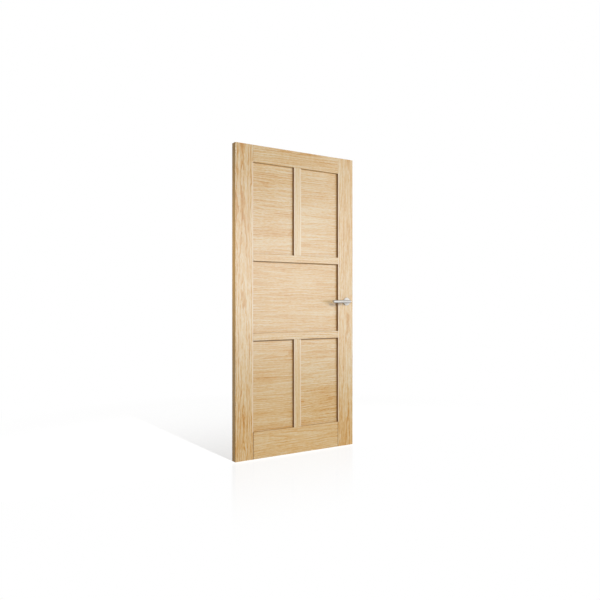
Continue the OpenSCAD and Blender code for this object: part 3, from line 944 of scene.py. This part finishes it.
def frame_cuts() -> dict[str, Oak]:
    """Choose the cut of oak for each board of the leaf's frame.

    Returns:
        The cuts by the boards' names.
    """
    # Listed sides get a painted highlight beside the panels; inner sides and feet get painted shade.
    stile = Oak(Grain.UPRIGHT, 0.0, sway=0.05, dash=10.0)
    muntin = Oak(Grain.UPRIGHT, 0.0, highlit_sides=(-1, 1), inner=(-1,))
    rail = Oak(Grain.LEVEL, 0.0, lean=0.03)
    cross_rail = Oak(Grain.LEVEL, 0.0, inner=(-1,))
    return {
        "hinge_stile": replace(
            stile, seed=1.0, lift=0.03, pith_across=-0.006, pith_off=0.035, lean=0.018, highlit_sides=(1,),
            inner=(1,), figure=0.8, flame=1.9, ring=0.014, band=0.55, foot=0.14,
        ),
        "lock_stile": replace(
            stile, seed=2.3, lift=0.01, pith_across=0.02, pith_off=0.06, highlit_sides=(-1,),
            inner=(-1,), figure=0.7, flame=1.7, ring=0.0125, band=0.45, foot=0.2,
        ),
        "top_rail": replace(
            rail, seed=3.1, lift=-0.02, pith_across=0.05, pith_off=0.06, sway=0.04, figure=0.95
        ),
        "upper_cross_rail": replace(cross_rail, seed=4.7, lift=0.06, pith_across=0.09),
        "lower_cross_rail": replace(
            cross_rail, seed=5.2, lift=0.08, pith_across=-0.03, lean=0.04, figure=0.75, band=0.4
        ),
        "bottom_rail": replace(
            rail, seed=6.9, lift=-0.04, pith_across=0.03, pith_off=0.07, sway=0.05, figure=0.6,
            dash=9.0, joint=0.0155,
        ),
        "upper_muntin": replace(muntin, seed=7.4, lift=0.22, pith_across=0.08),
        "lower_muntin": replace(muntin, seed=8.8, lift=0.08, pith_across=0.07),
    }


def panel_cuts() -> dict[str, Oak]:
    """Choose the cut of oak for each panel, with its grain across the leaf.

    Returns:
        The cuts by the panels' names.
    """
    # Each panel gets painted shade under the rail above it and beside its lock-side frame.
    upper = Oak(Grain.LEVEL, 0.0, lean=0.05, sway=0.07, pool=0.0165, lock_side_shade=0.0142)
    middle = replace(upper, lean=0.04, pool=0.017, shade_under_rail_share=0.15)
    lower = replace(upper, pool=0.0195, shade_under_rail_share=0.6, lock_side_shade=0.0132)
    return {
        "upper_left_panel": replace(upper, seed=11.3, lift=-0.03, pith_across=0.16, figure=1.05),
        "upper_right_panel": replace(upper, seed=12.9, lift=0.05, pith_across=-0.2, figure=0.9),
        "middle_panel": replace(middle, seed=13.6, lift=-0.02, pith_across=0.1),
        "lower_left_panel": replace(lower, seed=14.2, pith_across=0.2, figure=0.75, foot=0.2),
        "lower_right_panel": replace(lower, seed=15.8, pith_across=-0.12, figure=0.95, foot=0.15),
    }


@dataclass
class OakPart:
    """A sub-assembly of oak boards, each with its own cut of oak."""

    nodes: Nodes
    boards: dict[str, Oak]

    def build(self) -> None:
        """Dress every board."""
        for name, cut in self.boards.items():
            dress(self.nodes[name], OakBoard(name, cut).finish())


@dataclass
class LeafFrame(OakPart):
    """The stiles, rails and muntins of the leaf, and the dowels that join them."""

    boards: dict[str, Oak] = field(default_factory=frame_cuts)

    def build(self) -> None:
        """Dress every board and dowel."""
        super().build()
        for name, run in (("rail_dowels", Grain.LEVEL), ("muntin_dowels", Grain.UPRIGHT)):
            dress(self.nodes[name], Beech(run=run).material(f"beech_{name}"))


@dataclass
class LeafPanels(OakPart):
    """The five flat panels, whose grain runs across the leaf."""

    boards: dict[str, Oak] = field(default_factory=panel_cuts)


@dataclass
class SpindlePart:
    """A sub-assembly about the levers' spindle. Sizes are in millimetres."""

    nodes: Nodes
    spindle_x: float = 400.5
    spindle_height: float = 995.0

    def round_steel(self, name: str) -> Material:
        """Make satin steel that is brushed in circles about the spindle."""
        centre = (self.spindle_x * MILLIMETRE, self.spindle_height * MILLIMETRE)
        return SatinSteel(brush=Brush.ROUND, centre=centre).material(name)

    def dress_nodes(self, material: Material, *names: str) -> None:
        """Dress CAD nodes in one material."""
        for name in names:
            dress(self.nodes[name], material)


@dataclass
class HandleSet(SpindlePart):
    """The levers, roses and what drives them, on both faces of the leaf. Sizes are in millimetres.

    A handle is worked out with X towards the lock edge, Y up and Z out of the leaf's face.
    """

    leaf_half: float = 22.0
    lever_radius: float = 10.0
    lever_length: float = 140.0
    lever_stand: float = 40.0
    end_radius: float = 1.8
    mitre_ease: float = 2.2
    socket_half: float = 4.1
    socket_depth: float = 24.1
    journal_radius: float = 7.5
    journal_start: float = 0.3
    clip_groove_radius: float = 6.8
    clip_groove: Pair = (0.45, 1.25)
    flat_half: float = 6.3
    flat_end: float = 2.6
    neck_start: float = 9.1
    neck_ease: float = 0.4
    grub_place: float = 16.0
    grub_radius: float = 2.5
    rose_radius: float = 27.0
    rose_height: float = 10.0
    rose_wall: float = 1.0
    rose_edge: float = 1.6
    rose_hole: float = 10.3
    hole_ease: float = 0.3
    return_radius: float = 11.96
    return_wire: float = 0.65
    return_turns: float = 1.6
    return_low: float = 3.65
    return_high: float = 5.75
    return_leg_angle: float = 194.28
    return_fixed_reach: float = 16.4
    return_free_reach: float = 14.8
    around: int = 72
    mitre_steps: int = 9
    end_steps: int = 7
    rim_steps: int = 9
    coil_steps: int = 160
    wire_sides: int = 12

    def to_leaf(self, points: np.ndarray, face: Face) -> np.ndarray:
        """Place points of a handle on a face of the leaf, in metres.

        Args:
            points: Points in the handle's own axes, in millimetres.
            face: The face to put them on.

        Returns:
            The points in the frame's axes.
        """
        aside, up, out = np.moveaxis(points, -1, 0)
        depth = face.value * (self.leaf_half + out)
        return join(self.spindle_x + aside, depth, self.spindle_height + up) * MILLIMETRE

    def flat_rings(self, stations: np.ndarray) -> np.ndarray:
        """Make rings about the spindle's axis.

        A ring is a circle whose Y is held within the flats' half width.

        Args:
            stations: One row per ring, with its radius, its Z and its half width over the flats.

        Returns:
            The rings' points.
        """
        angle = round_angles(self.around)
        radius, height, half = (stations[:, k, None] for k in range(3))
        return join(radius * np.cos(angle), np.clip(radius * np.sin(angle), -half, half), height)

    def socket_rings(self) -> np.ndarray:
        """Make the square socket: a circle pushed out to a square.

        Returns:
            The rings' points, deep end first.
        """
        angle = round_angles(self.around)
        reach = self.socket_half / np.maximum(np.abs(np.cos(angle)), np.abs(np.sin(angle)))
        depth = np.array([self.socket_depth, self.journal_start])
        return join(reach * np.cos(angle), reach * np.sin(angle), depth[:, None])

    def bar_rings(self) -> np.ndarray:
        """Make the mitred bar.

        Each of the bar's lines climbs the neck to the mitre plane, Z = stand + X, and then runs towards -X.
        A curve with three control points, the corner being the middle one, eases the turn. The free end is
        a quarter circle.

        Returns:
            The rings' points, from the neck to the free end.
        """
        angle = round_angles(self.around)
        wide = self.lever_radius * np.cos(angle)
        rise = self.lever_radius * np.sin(angle)
        corner = join(wide, rise, self.lever_stand + wide)
        start = corner - self.mitre_ease * np.array([0.0, 0.0, 1.0])
        leave = corner + self.mitre_ease * np.array([-1.0, 0.0, 0.0])
        share = np.linspace(0.0, 1.0, self.mitre_steps)[:, None, None]
        turn = (1 - share) ** 2 * start + 2 * share * (1 - share) * corner + share**2 * leave
        quarter = np.linspace(0.0, math.pi / 2, self.end_steps)[:, None]
        reach = self.lever_length - self.end_radius + self.end_radius * np.sin(quarter)
        radius = self.lever_radius - self.end_radius + self.end_radius * np.cos(quarter)
        end = join(-reach, radius * np.sin(angle), self.lever_stand + radius * np.cos(angle))
        return np.concatenate([turn, end])

    def lever_rings(self) -> np.ndarray:
        """Make the whole lever: its socket, its journal with flats and a clip groove, its neck and its bar.

        Returns:
            The rings' points, from the socket's deep end to the bar's free end.
        """
        journal, groove, neck = self.journal_radius, self.clip_groove_radius, self.lever_radius
        groove_start, groove_end = self.clip_groove
        flat, full = self.flat_half, 2 * self.lever_radius
        stations = np.array(
            [
                (journal, self.journal_start, flat),
                (journal, groove_start, flat),
                (groove, groove_start, flat),
                (groove, groove_end, flat),
                (journal, groove_end, flat),
                (journal, self.flat_end, flat),
                (journal, self.flat_end, full),
                (journal, self.neck_start, full),
                (neck - self.neck_ease, self.neck_start, full),
                (neck, self.neck_start + self.neck_ease, full),
            ]
        )
        return np.concatenate([self.socket_rings(), self.flat_rings(stations), self.bar_rings()])

    def rose_rings(self) -> np.ndarray:
        """Make the rose cup: its wall's section, with a quarter circle at the rim, turned about Z.

        Returns:
            The rings' points, once round the section.
        """
        quarter = np.linspace(0.0, math.pi / 2, self.rim_steps)
        top = self.rose_height
        under = top - self.rose_wall
        inner = self.rose_radius - self.rose_wall
        rim_radius = self.rose_radius + self.rose_edge * (np.cos(quarter) - 1)
        rim_height = top + self.rose_edge * (np.sin(quarter) - 1)
        foot = np.array([(inner, 0.0), (self.rose_radius, 0.0)])
        mouth = np.array(
            [
                (self.rose_hole + self.hole_ease, top),
                (self.rose_hole, top - self.hole_ease),
                (self.rose_hole, under),
                (inner, under),
            ]
        )
        section = np.concatenate([foot, np.column_stack([rim_radius, rim_height]), mouth])
        return self.flat_rings(np.column_stack([section, np.full(len(section), 2 * self.rose_radius)]))

    def return_spring_path(self) -> np.ndarray:
        """Work out the return spring's path.

        It is a leg in from the base's wall, a coil about Z that sinks evenly, and a leg out to the finger.

        Returns:
            The path's points.
        """
        end = math.radians(self.return_leg_angle)
        start = end - FULL_TURN * self.return_turns
        share = np.linspace(0.0, 1.0, self.coil_steps)
        angle = np.concatenate([[start], start + (end - start) * share, [end]])
        fall = np.concatenate([[0.0], share, [1.0]])
        radius = np.full(len(angle), self.return_radius)
        radius[0] = self.return_fixed_reach
        radius[-1] = self.return_free_reach
        height = self.return_high + (self.return_low - self.return_high) * fall
        return join(radius * np.cos(angle), radius * np.sin(angle), height)

    def drill_grub_hole(self, lever: Piece, face: Face) -> None:
        """Cut the grub screw's hole into the underside of a lever's neck.

        Args:
            lever: The lever.
            face: The face that it sits on.
        """
        depth = np.array([-2 * self.lever_radius, -self.socket_half])
        angle = round_angles(self.around // 2)
        out = self.grub_place + self.grub_radius * np.sin(angle)
        rings = join(self.grub_radius * np.cos(angle), depth[:, None], out)
        drill = ring_piece("grub_drill", self.to_leaf(rings, face), False)
        cut = lever.modifiers.new("grub_hole", "BOOLEAN")
        cut.operation = "DIFFERENCE"
        cut.solver = "EXACT"
        cut.object = drill
        graph = bpy.context.evaluated_depsgraph_get()
        finished = bpy.data.meshes.new_from_object(lever.evaluated_get(graph))
        lever.modifiers.clear()
        lever.data = finished
        shade_smooth(finished)
        bpy.data.objects.remove(drill)

    def build(self) -> None:
        """Build the levers, roses and return springs, and dress them and the pieces inside them."""
        bar_finish = SatinSteel(brush=Brush.ALONG).material("satin_steel_lever")
        rose_finish = self.round_steel("satin_steel_rose")
        zinc = PlatedZinc().material("plated_zinc_rose_base")
        nylon = Nylon().material("nylon_neck_bush")
        steel = PlainSteel().material("plain_steel_handle")
        wire = sweep_wire(self.return_spring_path(), (0.0, 0.0, 1.0), self.return_wire, self.wire_sides)
        for face in Face:
            end = face.name.lower()
            lever = ring_piece(f"{end}_lever_bar", self.to_leaf(self.lever_rings(), face), False)
            self.drill_grub_hole(lever, face)
            adopt(lever, f"{end}_lever", "lever_set", bar_finish)
            rose = ring_piece(f"{end}_rose_cup", self.to_leaf(self.rose_rings(), face), True)
            adopt(rose, f"{end}_rose_cover", "leaf", rose_finish)
            spring = ring_piece(f"{end}_return_coil", self.to_leaf(wire, face), False)
            adopt(spring, f"{end}_return_spring", "leaf", steel)
            self.dress_nodes(zinc, f"{end}_rose_base")
            self.dress_nodes(nylon, f"{end}_neck_bush")
            self.dress_nodes(steel, f"{end}_drive_washer", f"{end}_circlip", f"{end}_grub_screw")
        self.dress_nodes(steel, "spindle", "through_bolts")


@dataclass
class LatchSet(SpindlePart):
    """The latch in the lock stile. Sizes are in millimetres."""

    spring_wire: float = 0.5
    spring_radius: float = 3.9
    spring_turns: float = 9.0
    closed_turns: float = 0.8
    bolt_travel: float = 10.0
    coil_steps: int = 460
    wire_sides: int = 10

    def spring_path(self, low: float, high: float) -> np.ndarray:
        """Work out the bolt spring's path.

        It is a helix about X whose pitch is small over the closed turns at each end and even between them.

        Args:
            low: X of the wire's middle at its first point.
            high: X of the wire's middle at its last point.

        Returns:
            The path's points.
        """
        turn = np.linspace(0.0, self.spring_turns, self.coil_steps)
        inner = np.clip(turn, self.closed_turns, self.spring_turns - self.closed_turns) - self.closed_turns
        share = inner / (self.spring_turns - 2 * self.closed_turns)
        closed = 2 * self.spring_wire
        rest = high - low - 2 * closed * self.closed_turns
        run = low + closed * (turn - inner) + rest * share
        angle = FULL_TURN * turn
        above = self.spindle_height + self.spring_radius * np.sin(angle)
        return join(run, self.spring_radius * np.cos(angle), above)

    def build(self) -> None:
        """Build the bolt spring and dress the latch's pieces."""
        satin = SatinSteel(brush=Brush.ALONG).material("satin_steel_bolt")
        plate = self.round_steel("satin_steel_forend")
        zinc = PlatedZinc().material("plated_zinc_latch")
        steel = PlainSteel().material("plain_steel_latch")
        self.dress_nodes(zinc, "latch_case", "latch_cap", "follower")
        self.dress_nodes(satin, "latch_bolt", "forend_screws")
        self.dress_nodes(plate, "forend")
        self.dress_nodes(steel, "cap_rivets")
        low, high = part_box("bolt_spring")
        margin = self.spring_wire * MILLIMETRE
        path = self.spring_path((low.x + margin) / MILLIMETRE, (high.x - margin) / MILLIMETRE)
        wire = sweep_wire(path, (1.0, 0.0, 0.0), self.spring_wire, self.wire_sides) * MILLIMETRE
        spring = ring_piece("bolt_spring_coil", wire, False)
        adopt(spring, "bolt_spring", "leaf", steel)
        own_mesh(spring)


@dataclass(frozen=True)
class Lamp:
    """A soft rectangular lamp, turned to its aim; mirrored says whether glossy faces show it."""

    name: str
    place: Triple
    aim: Triple
    size: Pair
    watts: float
    target: Target
    mirrored: bool = True

    def build(self, floor: Piece) -> None:
        """Add the lamp to the scene.

        Args:
            floor: The floor, which a lamp lights alone or leaves out.
        """
        data = bpy.data.lights.new(self.name, "AREA")
        data.shape = "RECTANGLE"
        data.size, data.size_y = self.size
        data.energy = self.watts
        lamp = add_object(self.name, data)
        lamp.location = self.place
        towards = Vector(self.aim) - Vector(self.place)
        lamp.rotation_euler = towards.to_track_quat("-Z", "Y").to_euler()
        lamp.visible_camera = False
        lamp.visible_glossy = self.mirrored
        receivers = bpy.data.collections.new(f"{self.name}_receivers")
        receivers.objects.link(floor)
        receivers.collection_objects[0].light_linking.link_state = self.target.value
        lamp.light_linking.receiver_collection = receivers
        log.info("lamp %s", self.name)


@dataclass
class Stage:
    """The white floor and surroundings, the lamps and the camera.

    Near the leaf the floor is plain white to the share floor_white, and otherwise matt, so that it keeps
    the leaf's shadow. It turns all white over the distances floor_clear from the leaf and front_clear
    before its middle plane, and its gloss ends gloss_reach before it. The light that it throws back is that
    of the grey floor_dim. Glossy faces show the surroundings at the strength mirrored, and white towards
    the backdrop. Sensor and lens are in millimetres.
    """

    floor_half: float = 30.0
    floor_points: int = 9
    floor_white: float = 0.7
    floor_clear: Pair = (1.6, 2.9)
    front_clear: float = 0.1
    floor_matt: float = 0.9
    floor_dim: float = 0.34
    gloss: float = 0.1
    gloss_rough: float = 0.16
    gloss_reach: float = 1.2
    ambient: float = 0.1
    mirrored: float = 0.15
    backdrop: Triple = (0.8, 0.6, 0.0)
    backdrop_step: Pair = (0.3, 0.7)
    eye: Triple = (-2.214, -3.4495, 0.984)
    ahead: Triple = (0.546, 0.838, 0.0)
    sensor: float = 36.0
    lens: float = 37.2
    shift_up: float = 0.0053
    lamps: tuple[Lamp, ...] = (
        Lamp("key_light", (-0.5, -9.0, 4.4), (0.0, 0.0, 0.8), (2.4, 2.4), 460.0, Target.OBJECT),
        Lamp("soft_box", (1.75, -4.55, 1.4), (0.0, 0.0, 1.15), (2.9, 2.1), 44.0, Target.OBJECT),
        Lamp("side_box", (3.54, -3.72, 1.66), (0.0, 0.0, 1.35), (1.3, 3.3), 25.0, Target.OBJECT),
        Lamp("edge_light", (-1.25, 0.0, 1.3), (-0.4575, 0.0, 1.25), (0.3, 0.5), 4.6, Target.OBJECT, False),
        Lamp("rear_light", (1.4, 6.5, 6.0), (0.0, 0.0, 0.9), (3.0, 3.0), 560.0, Target.OBJECT),
        Lamp("floor_strip", (-0.38, -2.5, 6.7), (-0.38, -2.5, 0.0), (0.12, 5.0), 850.0, Target.FLOOR),
    )

    @staticmethod
    def seen(graph: Graph) -> Value:
        """Return 1 for what is looked at, straight or through a clear piece, and 0 for gathered light."""
        path = graph.node("ShaderNodeLightPath").outputs
        return Value(graph, path["Is Camera Ray"]).larger(Value(graph, path["Is Transmission Ray"]))

    def build_world(self) -> None:
        """Make surroundings that look white and light the object softly."""
        world = bpy.data.worlds.new("white_surroundings")
        world.use_nodes = True
        graph = Graph(world.node_tree)
        white, soft, dim = (
            graph.node("ShaderNodeBackground", None, {"Color": WHITE, "Strength": strength}).outputs[0]
            for strength in (1.0, self.ambient, self.mirrored)
        )
        given = {0: graph.node("ShaderNodeTexCoord").outputs["Generated"], 1: self.backdrop}
        towards = graph.node("ShaderNodeVectorMath", {"operation": "DOT_PRODUCT"}, given).outputs["Value"]
        mirror = graph.blend(Value(graph, towards).smooth(*self.backdrop_step), dim, white)
        glossy = graph.node("ShaderNodeLightPath").outputs["Is Glossy Ray"]
        gathered = graph.blend(glossy, soft, mirror)
        both = graph.blend(self.seen(graph), gathered, white)
        graph.node("ShaderNodeOutputWorld", None, {"Surface": both})
        bpy.context.scene.world = world

    def floor_material(self) -> Material:
        """Make a white floor that keeps the leaf's shadow near it and has a faint gloss.

        Returns:
            The material.
        """
        material, graph = new_material("white_floor")
        x, y, _ = graph.place()
        before = 0 - y
        away = (x * x + y * y).root().smooth(*self.floor_clear)
        far = away.larger(before.smooth(0.0, self.front_clear))
        dim, matt = (
            graph.node("ShaderNodeBsdfDiffuse", None, {"Color": (grey, grey, grey, 1)}).outputs[0]
            for grey in (self.floor_dim, self.floor_matt)
        )
        white = graph.node("ShaderNodeEmission", None, {"Color": WHITE, "Strength": 1.0}).outputs[0]
        given = {"Color": WHITE, "Roughness": self.gloss_rough}
        polish = graph.node("ShaderNodeBsdfGlossy", None, given).outputs[0]
        ground = graph.blend(self.floor_white + far * (1 - self.floor_white), matt, white)
        near = (1 - before.smooth(0.0, self.gloss_reach)) * (1 - away) * self.gloss
        shown = graph.blend(self.seen(graph), dim, graph.blend(near, ground, polish))
        graph.node("ShaderNodeOutputMaterial", None, {"Surface": shown})
        return material

    def build_floor(self) -> Piece:
        """Make the floor, a grid of points at Z = 0.

        Returns:
            The floor.
        """
        count = self.floor_points
        edge = np.linspace(-self.floor_half, self.floor_half, count)
        wide, deep = np.meshgrid(edge, edge)
        points = join(wide, deep, 0.0).reshape(-1, 3)
        cell = np.arange(count - 1)
        first = (cell[:, None] * count + cell[None, :]).reshape(-1)
        faces = np.stack([first, first + 1, first + count + 1, first + count], axis=-1)
        mesh = bpy.data.meshes.new("floor")
        mesh.from_pydata(points.tolist(), [], faces.tolist())
        floor = add_object("floor", mesh)
        dress(floor, self.floor_material())
        return floor

    def build_camera(self) -> None:
        """Put a level camera where the picture was taken from."""
        data = bpy.data.cameras.new("camera")
        data.sensor_width = self.sensor
        data.lens = self.lens
        data.shift_y = self.shift_up
        camera = add_object("camera", data)
        camera.location = self.eye
        camera.rotation_euler = Vector(self.ahead).to_track_quat("-Z", "Y").to_euler()
        bpy.context.scene.camera = camera

    def build(self) -> None:
        """Build the surroundings, floor, lamps and camera."""
        bpy.context.scene.view_settings.view_transform = "Standard"
        self.build_world()
        floor = self.build_floor()
        for lamp in self.lamps:
            lamp.build(floor)
        self.build_camera()


def main() -> None:
    """Load the frame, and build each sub-assembly and the stage."""
    logging.basicConfig(level=logging.INFO, format="%(name)s: %(message)s")
    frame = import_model()
    nodes = frame["nodes"]
    for part in (LeafFrame(nodes), LeafPanels(nodes), HandleSet(nodes), LatchSet(nodes)):
        part.build()
    Stage().build()


if __name__ == "__main__":
    main()
